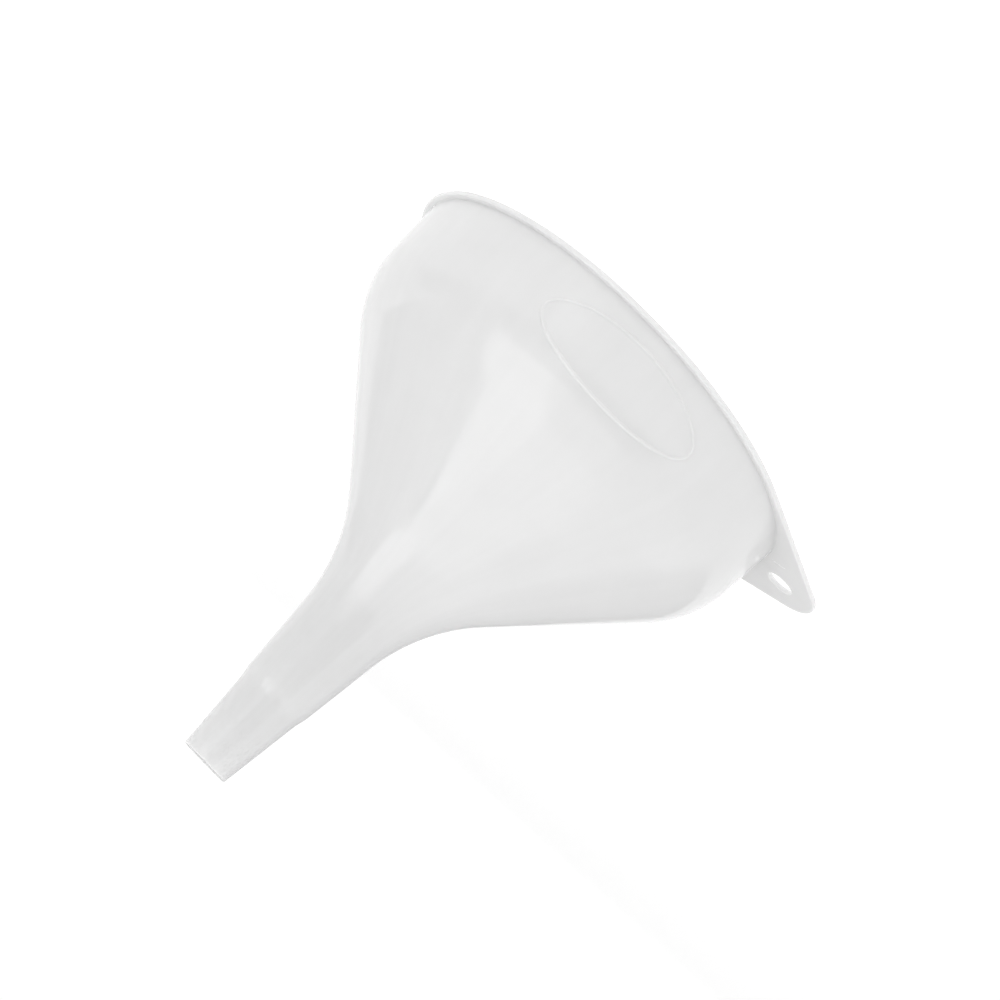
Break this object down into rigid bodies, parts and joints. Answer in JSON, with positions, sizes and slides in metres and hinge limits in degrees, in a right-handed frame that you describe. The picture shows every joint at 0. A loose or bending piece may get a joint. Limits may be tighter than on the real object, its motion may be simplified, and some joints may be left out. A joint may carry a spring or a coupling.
{
  "type": "plastic pouring funnel",
  "caption": "One-piece moulded plastic pouring funnel: deep bell with round shoulder, tapered spout with a small step, flat rim flange and a hanging tab with a hole.",
  "frame": {"origin": "centre of the mouth, in the flat face of the rim flange that the funnel rests on", "axes": "+Z along the axis of the funnel from the mouth to the spout's end, +X through the middle of the hanging tab, +Y through the middle of the raised blank oval"},
  "size_m": [0.1595, 0.14, 0.1529],
  "materials": {
    "polypropylene": "natural white polypropylene, smooth semi-gloss moulded surface, slightly translucent"
  },
  "bodies": {
    "root": {"rim_flange": "polypropylene", "hang_tab": "polypropylene", "side_wall": "polypropylene", "shoulder": "polypropylene", "cone": "polypropylene", "throat": "polypropylene", "spout": "polypropylene", "spout_tip": "polypropylene", "blank_oval": "polypropylene"}
  },
  "joints": []
}
